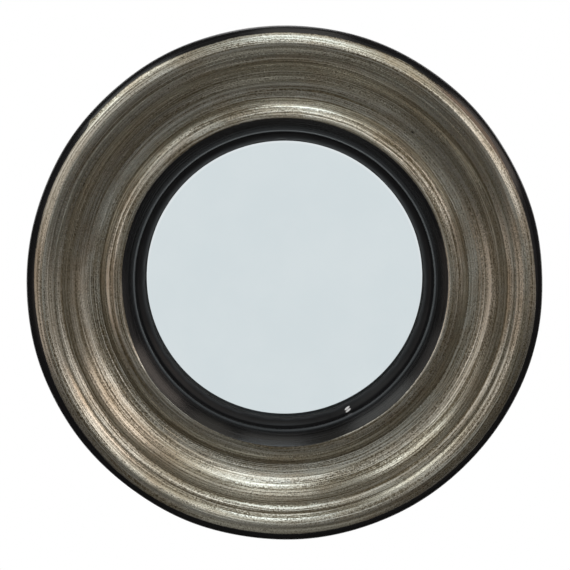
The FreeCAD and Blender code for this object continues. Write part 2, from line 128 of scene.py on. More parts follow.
def smooth(low, high, x):
    """0 at low, 1 at high, with an easy start and end."""
    t = np.clip((x - low) / (high - low), 0.0, 1.0)
    return t * t * (3 - 2 * t)


def wave(angle, seed, terms, fall):
    """A closed, irregular line round the ring, about -1 to 1. terms are the first and last wave numbers."""
    draw = np.random.default_rng(seed)
    out = np.zeros_like(angle)
    total = 0.0
    for term in range(terms[0], terms[1] + 1):
        size = draw.normal() / term ** fall
        out += size * np.sin(term * angle + draw.uniform(0, 2 * math.pi))
        total += size * size / 2
    return out / math.sqrt(total) / 1.6


def member(start, finish, crown, step):
    """Points from start up to, not including, finish, on an arc of that crown."""
    a, b = np.array(start, float), np.array(finish, float)
    chord = np.linalg.norm(b - a)
    side = np.array([b[1] - a[1], a[0] - b[0]]) / chord
    count = max(1, int(math.ceil(chord / step)))
    if crown == 0.0:
        return [a + (b - a) * k / count for k in range(count)]
    radius = chord * chord / (8 * abs(crown)) + abs(crown) / 2
    centre = (a + b) / 2 + side * (crown - math.copysign(radius, crown))
    first = math.atan2(*(a - centre)[::-1])
    last = math.atan2(*(b - centre)[::-1])
    sweep = (last - first + math.pi) % (2 * math.pi) - math.pi
    turns = [first + sweep * k / count for k in range(count)]
    return [centre + radius * np.array([math.cos(turn), math.sin(turn)]) for turn in turns]


def outline(corners):
    """The closed profile as points, with each point's distance along it."""
    points = []
    for number, (r, z, crown, step) in enumerate(corners):
        following = corners[(number + 1) % len(corners)]
        points += member((r, z), following[:2], crown, step)
    points = np.array(points)
    lengths = np.linalg.norm(np.roll(points, -1, 0) - points, axis=1)
    return points, np.concatenate([[0.0], np.cumsum(lengths)[:-1]])


def nearest_along(points, along, r, z):
    """How far along the profile its point nearest to (r, z) is."""
    return float(along[np.argmin((points[:, 0] - r) ** 2 + (points[:, 1] - z) ** 2)])


def mesh_object(name, vertices, faces):
    mesh = bpy.data.meshes.new(name)
    mesh.from_pydata([tuple(v) for v in vertices], [], [tuple(f) for f in faces])
    mesh.validate()
    mesh.polygons.foreach_set("use_smooth", [True] * len(mesh.polygons))
    mesh.set_sharp_from_angle(angle=math.radians(SMOOTH_ANGLE))
    mesh.update()
    piece = bpy.data.objects.new(name, mesh)
    bpy.context.scene.collection.objects.link(piece)
    return piece


def ring_faces(count):
    """Quads between the turns of a closed profile, facing outwards if it runs clockwise in (r, z)."""
    faces = []
    for turn in range(TURNS):
        here, there = turn * count, ((turn + 1) % TURNS) * count
        for k in range(count):
            nxt = (k + 1) % count
            faces.append((here + k, here + nxt, there + nxt, there + k))
    return faces


def lathe(name, points, shift, **attributes):
    """A turned mesh. shift(angles) gives each profile point's own (dr, dz) at each angle.

    Each attribute has a number for each profile point, or one for each angle."""
    count = len(points)
    rows = np.repeat(points[None, :, :], TURNS, axis=0) + shift(ANGLES)
    r, z = rows[..., 0], rows[..., 1]
    x = r * np.sin(ANGLES)[:, None]
    up = r * np.cos(ANGLES)[:, None]
    vertices = np.stack([x * MM, BACK_Y - z * MM, up * MM], axis=-1).reshape(-1, 3)
    piece = mesh_object(name, vertices, ring_faces(count))
    for word, values in attributes.items():
        spread = np.tile(values, TURNS) if len(values) == count else np.repeat(values, count)
        attribute = piece.data.attributes.new(word, "FLOAT", "POINT")
        attribute.data.foreach_set("value", spread.astype(np.float32))
    return piece


# ----------------------------------------------------------------------------------------------------
# Materials


class Nodes:
    """Shader nodes with short words."""

    def __init__(self, name):
        self.material = bpy.data.materials.new(name)
        self.material.use_nodes = True
        self.tree = self.material.node_tree
        self.tree.nodes.clear()
        self.shader = self.add("ShaderNodeBsdfPrincipled")
        self.out = self.add("ShaderNodeOutputMaterial")
        self.tree.links.new(self.shader.outputs[0], self.out.inputs[0])

    def add(self, kind, **settings):
        node = self.tree.nodes.new(kind)
        for key, setting in settings.items():
            setattr(node, key, setting)
        return node

    def link(self, source, target):
        if hasattr(source, "is_output"):
            self.tree.links.new(source, target)
        else:
            target.default_value = source

    def put(self, socket, source):
        self.link(source, self.shader.inputs[socket])

    def math(self, operation, *values, clamp=False):
        node = self.add("ShaderNodeMath", operation=operation, use_clamp=clamp)
        for socket, source in zip(node.inputs, values):
            self.link(source, socket)
        return node.outputs[0]

    def plus(self, first, second):
        return self.math("ADD", first, second)

    def minus(self, first, second):
        return self.math("SUBTRACT", first, second)

    def times(self, first, second):
        return self.math("MULTIPLY", first, second)

    def ramp(self, source, low, high, to_low=0.0, to_high=1.0):
        node = self.add("ShaderNodeMapRange", interpolation_type="SMOOTHSTEP")
        for socket, value in zip(node.inputs, (source, low, high, to_low, to_high)):
            self.link(value, socket)
        return node.outputs[0]

    def mix(self, share, first, second):
        node = self.add("ShaderNodeMix", data_type="RGBA")
        self.link(share, node.inputs[0])
        for socket, colour in ((node.inputs[6], first), (node.inputs[7], second)):
            self.link((*colour, 1.0) if isinstance(colour, tuple) else colour, socket)
        return node.outputs[2]

    def noise(self, vector, scale, detail, roughness):
        node = self.add("ShaderNodeTexNoise")
        self.link(vector, node.inputs["Vector"])
        node.inputs["Scale"].default_value = scale
        node.inputs["Detail"].default_value = detail
        node.inputs["Roughness"].default_value = roughness
        return node.outputs[0]

    def vector(self, x, y, z):
        node = self.add("ShaderNodeCombineXYZ")
        for socket, source in zip(node.inputs, (x, y, z)):
            self.link(source, socket)
        return node.outputs[0]

    def attribute(self, word):
        return self.add("ShaderNodeAttribute", attribute_name=word).outputs["Fac"]

    def place(self):
        """The point on the object, metres."""
        return self.add("ShaderNodeTexCoord").outputs["Object"]

    def axes(self, place):
        split = self.add("ShaderNodeSeparateXYZ")
        self.link(place, split.inputs[0])
        return split.outputs[0], split.outputs[1], split.outputs[2]

    def bump(self, height, strength, distance):
        node = self.add("ShaderNodeBump")
        node.inputs["Strength"].default_value = strength
        node.inputs["Distance"].default_value = distance
        self.link(height, node.inputs["Height"])
        self.put("Normal", node.outputs[0])


def polar(n, x, z):
    """Distance from the mirror's axis in mm, and sine and cosine of the angle clockwise from the top."""
    radius = n.math("SQRT", n.plus(n.times(x, x), n.times(z, z)))
    return n.times(radius, MM_PER_M), n.math("DIVIDE", x, radius), n.math("DIVIDE", z, radius)


def spot_at(n, x, z, radius, degrees, lean, long, short):
    """1 inside a small ellipse on the face of the ring, fading at its edge.

    radius, long and short are in mm, degrees run clockwise from the top. Its long way runs round the
    ring, leaning by some degrees."""
    a, turned = math.radians(degrees), math.radians(degrees + lean)
    dx = n.minus(n.times(x, MM_PER_M), radius * math.sin(a))
    dz = n.minus(n.times(z, MM_PER_M), radius * math.cos(a))
    u = n.minus(n.times(dx, math.cos(turned)), n.times(dz, math.sin(turned)))
    v = n.plus(n.times(dx, math.sin(turned)), n.times(dz, math.cos(turned)))
    u_squared = n.math("POWER", n.math("DIVIDE", u, long / 2), 2.0)
    v_squared = n.math("POWER", n.math("DIVIDE", v, short / 2), 2.0)
    return n.ramp(n.plus(u_squared, v_squared), 0.75, 1.3, 1.0, 0.0)


# The edges of the black paint, as the photograph shows them. Each step of a line is at (degrees clockwise
# from the top, change in mm, half its width in degrees).
OUTER_STEPS = (
    (26.0, -0.7, 2.0), (31.5, 1.2, 2.0), (37.5, -0.6, 2.0), (58.0, 1.8, 4.0), (93.0, -1.7, 8.0),
    (112.0, 1.1, 10.0), (183.0, 0.5, 3.0), (199.0, -0.7, 8.0), (226.0, 0.8, 4.0), (250.0, 0.7, 6.0),
    (276.0, -1.7, 16.0), (309.3, -1.7, 1.2), (334.0, 2.0, 9.0), (346.5, -1.0, 1.5),
)
INNER_STEPS = (
    (25.0, 0.8, 20.0), (108.0, -0.5, 12.0), (162.0, -0.8, 5.0), (245.0, 2.8, 14.0),
    (270.0, -0.5, 8.0), (292.0, -1.2, 12.0), (335.0, -0.6, 12.0),
)
SPUR_AT = 310.2
SPUR_WIDTH = 0.9


def drift(degrees, start, steps):
    """A line that drifts and jumps round the ring."""
    line = np.full_like(degrees, start)
    for centre, change, half in steps:
        line += change * smooth(centre - half, centre + half, degrees)
    return line


def paint_lines():
    """How far the leaf's two edges stand from where a straight line would be, mm, for each angle."""
    degrees = np.degrees(ANGLES)
    spur = np.exp(-((degrees - SPUR_AT) / SPUR_WIDTH) ** 2)
    return drift(degrees, -0.7, OUTER_STEPS) - spur, drift(degrees, 0.3, INNER_STEPS)


# Colours of the leaf, its toning (also used as painted shade in the hollows), the bole under it and the
# black paint.
LEAF_SHADE = (0.40, 0.378, 0.305)
LEAF_BRIGHT = (0.88, 0.855, 0.765)
LEAF_WARM = (0.50, 0.41, 0.30)
TONING_AND_SHADE_DARK = (0.050, 0.038, 0.020)
TONING_AND_SHADE_LIGHT = (0.180, 0.145, 0.087)
BOLE_DARK = (0.055, 0.042, 0.034)
BOLE_LIGHT = (0.20, 0.15, 0.12)
NICK_BROWN = (0.02, 0.016, 0.012)
PAINT_DARK = (0.004, 0.004, 0.0045)
PAINT_LIGHT = (0.009, 0.009, 0.010)
PAINT_RUBBED = (0.045, 0.042, 0.038)

# Streaks in the leaf: how fine across the turning (per mm), how fine round it, detail, roughness, and an
# offset that keeps one from lying on another.
STREAKS = {
    "hair": (1.5, 0.8, 2.0, 0.6, 0.0),
    "fine": (0.75, 1.2, 2.0, 0.6, 31.0),
    "broad": (0.20, 1.7, 3.0, 0.55, 67.0),
    "cloud": (0.06, 4.5, 4.0, 0.6, 12.0),
    "speck": (1.0, 120.0, 2.0, 0.6, 5.0),
    "fleck": (0.8, 42.0, 2.0, 0.65, 91.0),
}

# How each mark adds to the toning: the range of the mark that counts, and the toning at either end of it.
TONING = (
    ("broad", 0.34, 0.66, -0.25, 0.42),
    ("hair", 0.39, 0.59, 0.62, -0.32),
    ("grain", 0.34, 0.66, 0.34, -0.22),
    ("speck", 0.38, 0.66, -0.2, 0.38),
    ("fleck", 0.62, 0.78, 0.0, 0.3),
)

# The worn patch beside the outer black: degrees at which it comes in and goes out.
WORN_FROM = (34.0, 41.0)
WORN_TO = (57.0, 80.0)


def leaf_marks(n, place, along, sine, cosine):
    """The marks that the leaf's colour, gloss and relief share. The lanes that they keep to wander."""
    bend_at = n.vector(n.times(sine, 3.5), n.times(cosine, 3.5), n.times(along, 0.09))
    bend = n.noise(bend_at, 1.0, 2.0, 0.5)
    lane = n.plus(along, n.times(n.minus(bend, 0.5), 2.4))
    marks = {"grain": n.noise(place, 1000.0, 2.0, 0.7)}
    for word, (across, around, detail, roughness, offset) in STREAKS.items():
        streak_at = n.vector(n.times(sine, around), n.times(cosine, around),
                             n.plus(n.times(lane, across), offset))
        marks[word] = n.noise(streak_at, 1.0, detail, roughness)
    return marks


def toning_and_shade_share(n, along, hollows, marks):
    """How much of the silver is hidden by its toning and by the shade painted into its hollows: 0 bright, 1
    dark.
    """
    share = None
    # painted shade: the hollows, creases and cove are darkened, partly with toning that gathers there
    for low, high, edge, amount in hollows:
        start = n.ramp(along, low - edge, low + edge)
        end = n.ramp(along, high - edge, high + edge, 1.0, 0.0)
        hollow = n.times(n.times(start, end), amount)
        share = hollow if share is None else n.math("MAXIMUM", share, hollow)
    for word, low, high, at_low, at_high in TONING:
        share = n.plus(share, n.ramp(marks[word], low, high, at_low, at_high))
    return n.math("ADD", share, 0.0, clamp=True)


def worn_share(n, along, sine, cosine, fine, outer_line):
    """Where bole and thin paint show beside the outer black."""
    from_top = n.math("ARCTAN2", sine, cosine)
    start = n.ramp(from_top, *(math.radians(degrees) for degrees in WORN_FROM))
    end = n.ramp(from_top, *(math.radians(degrees) for degrees in WORN_TO), 1.0, 0.0)
    ragged = n.plus(along, n.times(fine, 3.0))
    reach = n.ramp(ragged, outer_line + 3.2, outer_line + 4.6, 1.0, 0.0)
    return n.times(n.times(start, end), reach)


def black_share(n, along, sine, cosine, stations):
    """Where the paint lies, with the edges of a hand-held brush on a turning frame."""
    nibble_at = n.vector(n.times(sine, 38.0), n.times(cosine, 38.0), 9.0)
    nibble = n.times(n.minus(n.noise(nibble_at, 1.0, 3.0, 0.7), 0.5), 0.9)
    ragged = n.plus(along, nibble)
    soft = 0.2
    inner = n.minus(ragged, n.attribute("inner_edge"))
    outer = n.minus(ragged, n.attribute("outer_edge"))
    black_in = n.ramp(inner, stations["inner_line"] - soft, stations["inner_line"] + soft)
    black_out = n.ramp(outer, stations["outer_line"] - soft, stations["outer_line"] + soft, 1.0, 0.0)
    return n.math("MAXIMUM", black_in, black_out)


def leaf_material(stations):
    """Aged silver leaf over turned wood, streaked along the turning, with black paint inside and outside.

    stations says how far along the profile the paint's lines, the arris and the hollows are."""
    n = Nodes("silver_leaf")
    place = n.place()
    x, _, z = n.axes(place)
    _, sine, cosine = polar(n, x, z)
    along = n.attribute("along")
    marks = leaf_marks(n, place, along, sine, cosine)
    hair, fine, fleck = marks["hair"], marks["fine"], marks["fleck"]

    silver = n.mix(n.ramp(fine, 0.32, 0.66), LEAF_SHADE, LEAF_BRIGHT)
    silver = n.mix(n.ramp(marks["cloud"], 0.42, 0.7, 0.0, 0.55), silver, LEAF_WARM)
    toned_and_shaded = n.mix(n.ramp(marks["grain"], 0.35, 0.65), TONING_AND_SHADE_DARK, TONING_AND_SHADE_LIGHT)
    toning_and_shade = toning_and_shade_share(n, along, stations["hollows"], marks)
    # the silver darkens with its toning and with the shade painted into the hollows
    leaf = n.mix(toning_and_shade, silver, toned_and_shaded)
    bole = n.mix(n.ramp(hair, 0.36, 0.62), BOLE_DARK, BOLE_LIGHT)
    worn = worn_share(n, along, sine, cosine, fine, stations["outer_line"])
    leaf = n.mix(n.times(worn, 0.85), leaf, bole)
    nick = spot_at(n, x, z, radius=152.5, degrees=40.5, lean=6.0, long=2.6, short=1.1)
    leaf = n.mix(nick, leaf, NICK_BROWN)

    black = black_share(n, along, sine, cosine, stations)
    bare = n.minus(1.0, black)
    paint = n.mix(n.ramp(hair, 0.3, 0.7), PAINT_DARK, PAINT_LIGHT)
    rubbed = n.times(black, n.ramp(fleck, 0.66, 0.8, 0.0, 0.35))
    paint = n.mix(rubbed, paint, PAINT_RUBBED)
    n.put("Base Color", n.mix(black, leaf, paint))

    # towards the arris the black turns to a dark metal, which shows less of the bright mirror
    arris = stations["arris"]
    dull = n.plus(n.ramp(along, arris - 9.0, arris - 3.0, 0.0, 0.5),
                  n.ramp(along, arris - 0.8, arris + 0.4, 0.0, 0.45))
    metallic = n.times(bare, n.ramp(toning_and_shade, 0.0, 1.0, 0.93, 0.6))
    n.put("Metallic", n.math("MAXIMUM", metallic, dull))
    rough_leaf = n.plus(n.ramp(hair, 0.3, 0.7, 0.20, 0.28), n.times(toning_and_shade, 0.12))
    rough_paint = n.ramp(fine, 0.3, 0.7, 0.16, 0.30)
    n.put("Roughness", n.plus(n.times(rough_leaf, bare), n.times(rough_paint, black)))
    n.shader.inputs["Specular IOR Level"].default_value = 0.5
    n.shader.inputs["Anisotropic"].default_value = 0.6
    n.shader.inputs["Anisotropic Rotation"].default_value = 0.25
    n.put("Tangent", n.add("ShaderNodeTangent", direction_type="RADIAL", axis="Y").outputs[0])

    relief = n.plus(n.times(hair, 0.5), n.times(fine, 0.8))
    relief = n.plus(relief, n.times(marks["grain"], 0.35))
    relief = n.minus(relief, n.times(n.ramp(marks["speck"], 0.66, 0.76), 0.5))
    n.bump(relief, 0.5, 0.00022)
    return n.material


PALE_MARK_RADII = (111.6, 113.4)
PALE_MARK_AT = 154.1
PALE_MARK_GREY = (0.62, 0.62, 0.62)


def paint_material(name, low, high, rough, scale, pale_marks=False):
    """Paint or lacquer with faint brush marks round the ring. scale is how fine they are, per mm.

    The last argument adds the two small pale grey marks that the photograph shows on the slip."""
    n = Nodes(name)
    place = n.place()
    x, y, z = n.axes(place)
    radius, sine, cosine = polar(n, x, z)
    across = n.plus(n.times(radius, scale), n.times(y, scale * MM_PER_M))
    hair = n.noise(n.vector(n.times(sine, 3.0), n.times(cosine, 3.0), across), 1.0, 3.0, 0.6)
    cloud = n.noise(place, 60.0, 4.0, 0.6)
    mottle = n.plus(n.times(hair, 0.6), n.times(cloud, 0.4))
    colour = n.mix(n.ramp(mottle, 0.3, 0.7), low, high)
    # two small pale grey marks on the black slip
    if pale_marks:
        for radius_out in PALE_MARK_RADII:
            pale_mark = spot_at(n, x, z, radius_out, PALE_MARK_AT, lean=-13.0, long=4.6, short=1.5)
            colour = n.mix(pale_mark, colour, PALE_MARK_GREY)
    n.put("Base Color", colour)
    n.put("Roughness", n.ramp(cloud, 0.3, 0.7, rough - 0.05, rough + 0.07))
    n.shader.inputs["Specular IOR Level"].default_value = 0.2
    n.bump(n.plus(n.times(hair, 0.5), n.times(cloud, 0.5)), 0.35, 0.0001)
    return n.material


def grain_material(name, low, high, rough, scale, metallic=0.0, specks=None):
    """A plain stuff with its own mottle. scale is how fine it is; specks is a scale and a colour."""
    n = Nodes(name)
    place = n.place()
    body = n.noise(place, scale, 6.0, 0.65)
    cloud = n.noise(place, scale * 0.12, 3.0, 0.55)
    mottle = n.plus(n.times(body, 0.65), n.times(cloud, 0.35))
    colour = n.mix(n.ramp(mottle, 0.32, 0.68), low, high)
    if specks:
        speck_scale, speck_colour = specks
        cells = n.add("ShaderNodeTexVoronoi")
        n.link(place, cells.inputs["Vector"])
        cells.inputs["Scale"].default_value = speck_scale
        colour = n.mix(n.ramp(cells.outputs["Distance"], 0.12, 0.4, 0.85, 0.0), colour, speck_colour)
    n.put("Base Color", colour)
    n.put("Roughness", n.ramp(body, 0.3, 0.7, rough - 0.08, rough + 0.08))
    n.shader.inputs["Metallic"].default_value = metallic
    n.bump(body, 0.5, 0.0002)
    return n.material


def mirror_material():
    """Silvered glass: clear, a little cool, with the faintest ripple, and a slightly brighter rim that is a
    painted highlight.
    """
    n = Nodes("mirror")
    place = n.place()
    x, _, z = n.axes(place)
    radius, _, _ = polar(n, x, z)
    haze = n.noise(place, 22.0, 3.0, 0.5)
    colour = n.mix(n.ramp(haze, 0.3, 0.7), (0.610, 0.676, 0.700), (0.628, 0.690, 0.712))
    # painted highlight: the colour is lighter in a narrow band by the glass's edge
    rim = n.times(n.ramp(radius, 105.6, 106.6), 0.5)
    n.put("Base Color", n.mix(rim, colour, (0.74, 0.78, 0.80)))
    n.put("Roughness", n.ramp(haze, 0.3, 0.7, 0.012, 0.022))
    n.shader.inputs["Metallic"].default_value = 1.0
    n.bump(haze, 0.05, 0.00005)
    return n.material


# ----------------------------------------------------------------------------------------------------
# Pieces


def make_moulding():
    """The turned frame, with the small wander and the tool lines of work turned by hand."""
    points, along = outline(MOULDING)
    radius, height = points[:, 0], points[:, 1]
    shows = smooth(20.0, 26.0, height)
    rim_share = 1 - smooth(RIM, RIM - 1.5, radius)
    sink, wander, whole_wander, rim_wear = 0.16, 0.10, 0.06, 0.28

    def shift(angles):
        whole = wave(angles, 11, (2, 7), 0.8)[:, None]
        local = 0.0
        for number in range(5):
            centre = 120.0 + number * 18.0
            share = np.exp(-((radius - centre) / 11.0) ** 2)[None, :]
            local = local + wave(angles, 20 + number, (3, 16), 0.6)[:, None] * share
        lines = 0.0
        for number, (line_radius, depth, half) in enumerate(TOOL_LINES):
            strength = 0.75 + 0.45 * wave(angles, 40 + number, (1, 5), 0.5)[:, None]
            lines = lines + depth * strength * np.exp(-((radius - line_radius) / half) ** 2)[None, :]
        dz = shows * (wander * local + whole_wander * whole - sink - np.maximum(lines, 0.0))
        rim = rim_wear * (1 + wave(angles, 77, (4, 14), 0.3)[:, None]) * rim_share
        dr = shows * (wander * local - rim)
        return np.stack([np.minimum(dr, RIM_LIMIT - radius), np.minimum(dz, 0.0)], axis=-1)

    outer_edge, inner_edge = paint_lines()
    piece = lathe("moulding_leafed", points, shift,
                  along=along, outer_edge=outer_edge, inner_edge=inner_edge)
    hollows = []
    for first, last, edge, amount in HOLLOWS:
        ends = [nearest_along(points, along, *corner) for corner in (first, last)]
        hollows.append((min(ends), max(ends), edge, amount))
    piece.data.materials.append(leaf_material({
        "outer_line": nearest_along(points, along, *OUTER_PAINT_LINE),
        "inner_line": nearest_along(points, along, *BLACK_ROLL),
        "arris": nearest_along(points, along, *ARRIS),
        "hollows": hollows,
    }))
    return piece


def make_slip():
    """The black ring round the glass. Its inner edge is a little uneven, as painted wood is."""
    points, _ = outline(SLIP)
    nose = smooth(110.5, 108.6, points[:, 0])
    unevenness = 0.16

    def shift(angles):
        dr = unevenness * nose * (1 + wave(angles, 81, (8, 60), 0.35)[:, None])
        return np.stack([np.maximum(dr, 0.0), np.zeros_like(dr)], axis=-1)

    return lathe("slip_painted", points, shift)


def make_glass():
    """Both faces of the bent blank, as two caps joined by a rim."""
    rings, turns = 56, 180
    radii = np.linspace(0.0, GLASS_RADIUS, rings + 1)[1:]
    vertices = []
    for sphere in (GLASS_FRONT, GLASS_BACK):
        vertices.append((0.0, BACK_Y - (GLASS_CENTRE + sphere) * MM, 0.0))
        for r in radii:
            y = BACK_Y - (GLASS_CENTRE + math.sqrt(sphere * sphere - r * r)) * MM
            for turn in range(turns):
                a = 2 * math.pi * turn / turns
                vertices.append((r * MM * math.sin(a), y, r * MM * math.cos(a)))
    back = 1 + rings * turns
    faces = []
    for start, flip in ((0, False), (back, True)):
        for turn in range(turns):
            nxt = (turn + 1) % turns
            loops = [(start, start + 1 + nxt, start + 1 + turn)]
            for ring in range(rings - 1):
                a = start + 1 + ring * turns
                b = a + turns
                loops.append((a + turn, a + nxt, b + nxt, b + turn))
            faces += [face[::-1] if flip else face for face in loops]
    front_rim, back_rim = 1 + (rings - 1) * turns, back + 1 + (rings - 1) * turns
    for turn in range(turns):
        nxt = (turn + 1) % turns
        faces.append((front_rim + turn, front_rim + nxt, back_rim + nxt, back_rim + turn))
    return mesh_object("glass_silvered", vertices, faces)


def solids_of(node, reach):
    """The points of each solid of a CAD node. The solids are small and stand further apart than reach."""
    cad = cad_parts[node]
    groups = []
    for vertex in cad.data.vertices:
        point = cad.matrix_world @ vertex.co
        near = [g for g in groups if math.hypot(point.x - g[0].x, point.z - g[0].z) < reach]
        if near:
            near[0].append(point)
        else:
            groups.append([point])
    return groups


def turned_solid(profile, turns):
    """Vertices and faces of a solid turned about z, its profile from the top of the axis to its foot."""
    vertices = [(0.0, 0.0, profile[0][1])]
    for radius, height in profile[1:-1]:
        for turn in range(turns):
            a = 2 * math.pi * turn / turns
            vertices.append((radius * math.cos(a), radius * math.sin(a), height))
    vertices.append((0.0, 0.0, profile[-1][1]))
    foot, last = len(vertices) - 1, 1 + (len(profile) - 3) * turns
    faces = []
    for turn in range(turns):
        nxt = (turn + 1) % turns
        faces.append((0, 1 + turn, 1 + nxt))
        faces.append((foot, last + nxt, last + turn))
        for ring in range(len(profile) - 3):
            a, b = 1 + ring * turns, 1 + (ring + 1) * turns
            faces.append((a + turn, b + turn, b + nxt, a + nxt))
    return vertices, faces


def cross_cutter(reach, half, depth):
    """A cross-shaped peg that narrows downwards. It starts a little above height 0."""
    above, narrowing = 0.3, 0.45
    corners = []
    for quarter in range(4):
        c, s = math.cos(quarter * math.pi / 2), math.sin(quarter * math.pi / 2)
        for u, v in ((reach, -half), (reach, half), (half, half)):
            corners.append((c * u - s * v, s * u + c * v))
    count = len(corners)
    vertices = [(x, y, above) for x, y in corners]
    vertices += [(narrowing * x, narrowing * y, -depth) for x, y in corners]
    faces = [tuple(range(count)), tuple(range(2 * count - 1, count - 1, -1))]
    for k in range(count):
        nxt = (k + 1) % count
        faces.append((k, k + count, nxt + count, nxt))
    return vertices, faces


def cut(solid, tool):
    """The solid with the tool's shape taken out."""
    body, cutter = mesh_object("cut_body", *solid), mesh_object("cut_tool", *tool)
    modifier = body.modifiers.new("cut", "BOOLEAN")
    modifier.operation = "DIFFERENCE"
    modifier.object = cutter
    modifier.solver = "EXACT"
    bpy.context.view_layer.update()
    shape = body.evaluated_get(bpy.context.evaluated_depsgraph_get()).to_mesh()
    vertices = [tuple(v.co) for v in shape.vertices]
    faces = [tuple(face.vertices) for face in shape.polygons]
    bpy.data.objects.remove(body)
    bpy.data.objects.remove(cutter)
    return vertices, faces


def pan_head(radius, height):
    """A domed head with a short side, from its top, mm."""
    dome = []
    for t in np.linspace(0, math.pi / 2, 8):
        dome.append((radius * math.sin(t), -0.66 * height * (1 - math.cos(t))))
    return dome + [(radius, -height + 0.2), (radius - 0.15, -height)]


def flat_head(radius, height):
    """A countersunk head, from its top, mm."""
    foot = (radius - height, -height - 0.2)
    return [(0.0, 0.0), (radius - 0.2, 0.0), (radius, -0.12), (radius, -0.35), foot]


def make_screws(name, node, reach, head, height, shank, finish, seed):
    """The node's screws as one piece: real heads with a cross recess, each turned its own way."""
    draw = np.random.default_rng(seed)
    vertices, faces = [], []
    for group in solids_of(node, reach):
        xs, ys, zs = ([point[k] for point in group] for k in range(3))
        middle_x, middle_z = (min(xs) + max(xs)) / 2, (min(zs) + max(zs)) / 2
        radius, length = (max(xs) - min(xs)) / 2 / MM, (max(ys) - min(ys)) / MM
        profile = head(radius, height)
        profile += [(shank, -height - 0.2), (shank, shank - length), (0.0, -length)]
        recess = cross_cutter(0.56 * radius, 0.13 * radius, 0.9 * height)
        points, loops = cut(turned_solid(profile, 32), recess)
        roll = draw.uniform(0, 2 * math.pi)
        c, s = math.cos(roll), math.sin(roll)
        start = len(vertices)
        for x, y, z in points:
            u, v = c * x - s * y, s * x + c * y
            vertices.append((middle_x - u * MM, max(ys) + z * MM, middle_z + v * MM))
        faces += [tuple(start + k for k in loop) for loop in loops]
    piece = mesh_object(name, vertices, faces)
    piece.data.materials.append(finish)
    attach(piece, "frame")
    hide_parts(node)
    return piece


moulding = make_moulding()
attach(moulding, "frame")
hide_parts("front_moulding")

slip = make_slip()
slip.data.materials.append(
    paint_material("black_slip", (0.005, 0.005, 0.006), (0.011, 0.011, 0.012), 0.33, 0.9, pale_marks=True))
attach(slip, "frame")
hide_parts("sight_slip")

glass = make_glass()
glass.data.materials.append(mirror_material())
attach(glass, "frame")
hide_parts("mirror_glass")

# The nodes that keep their own mesh: the two colours, the roughness and the fineness of each one's stuff.
cork_specks = (320.0, (0.16, 0.09, 0.05))
strap_steel = grain_material("hanger_steel", (0.5, 0.5, 0.49), (0.66, 0.66, 0.65), 0.32, 700.0, 1.0)
button_steel = grain_material("button_steel", (0.45, 0.45, 0.43), (0.62, 0.62, 0.6), 0.36, 600.0, 1.0)
finishes = {
    "glass_gasket": grain_material("felt", (0.02, 0.02, 0.02), (0.05, 0.05, 0.05), 0.9, 900.0),
    "packing_ring": grain_material("cork", (0.28, 0.17, 0.09), (0.5, 0.34, 0.2), 0.85, 400.0,
                                   specks=cork_specks),
    "back_ring": paint_material("black_back", (0.018, 0.018, 0.018), (0.034, 0.033, 0.032), 0.6, 0.4),
    "backing_board": grain_material("board", (0.13, 0.075, 0.042), (0.23, 0.14, 0.083), 0.62, 500.0),
    "hanger_strap": strap_steel,
    "hanger_ring": strap_steel,
    "wall_bumpers": grain_material("bumper_rubber", (0.03, 0.03, 0.03), (0.05, 0.05, 0.05), 0.72, 700.0),
}
for number in range(1, 7):
    finishes[f"turn_button_{number}"] = button_steel
for node, finish in finishes.items():
    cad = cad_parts[node]
    cad.data.materials.clear()
    cad.data.materials.append(finish)

zinc = grain_material("zinc_screws", (0.48, 0.48, 0.46), (0.66, 0.66, 0.63), 0.34, 900.0, 1.0)
make_screws("ring_screws_crossed", "back_ring_screws", 0.009, flat_head, 2.0, 2.0, zinc, 61)
make_screws("button_screws_crossed", "turn_button_screws", 0.008, pan_head, 2.2, 1.75, zinc, 62)
make_screws("hanger_screws_crossed", "hanger_screws", 0.0064, pan_head, 2.0, 1.6, zinc, 63)

# ----------------------------------------------------------------------------------------------------
# Stage: floor, lights and camera. Metres.

FLOOR_Z = -2.6
FLOOR_HALF = 6
WORLD_LEVEL = 0.45
DOME_LEVEL = 0.03
CARD_LEVEL = 0.80


def pale_floor():
    """Pale, with the object's soft shadow near the middle, and white further out."""
    n = Nodes("floor_pale")
    n.put("Base Color", (0.85, 0.85, 0.85, 1.0))
    n.shader.inputs["Roughness"].default_value = 0.9
    n.shader.inputs["Specular IOR Level"].default_value = 0.0
    radius = n.add("ShaderNodeVectorMath", operation="LENGTH")
    n.link(n.place(), radius.inputs[0])
    path = n.add("ShaderNodeLightPath").outputs
    lens = n.times(path["Is Camera Ray"], n.ramp(radius.outputs["Value"], 1.0, 5.5, 0.7, 1.0))
    gloss = n.math("MAXIMUM", path["Is Glossy Ray"], path["Is Transmission Ray"])
    blend = n.add("ShaderNodeMixShader")
    n.link(n.math("MAXIMUM", lens, gloss), blend.inputs[0])
    n.link(n.shader.outputs[0], blend.inputs[1])
    n.link(n.add("ShaderNodeEmission").outputs[0], blend.inputs[2])
    n.link(blend.outputs[0], n.out.inputs[0])
    return n.material


def make_floor():
    corners = [(-FLOOR_HALF, -FLOOR_HALF), (FLOOR_HALF, -FLOOR_HALF)]
    corners += [(FLOOR_HALF, FLOOR_HALF), (-FLOOR_HALF, FLOOR_HALF)]
    floor = mesh_object("floor", [(x, y, FLOOR_Z) for x, y in corners], [(0, 1, 2, 3)])
    floor.data.materials.append(pale_floor())


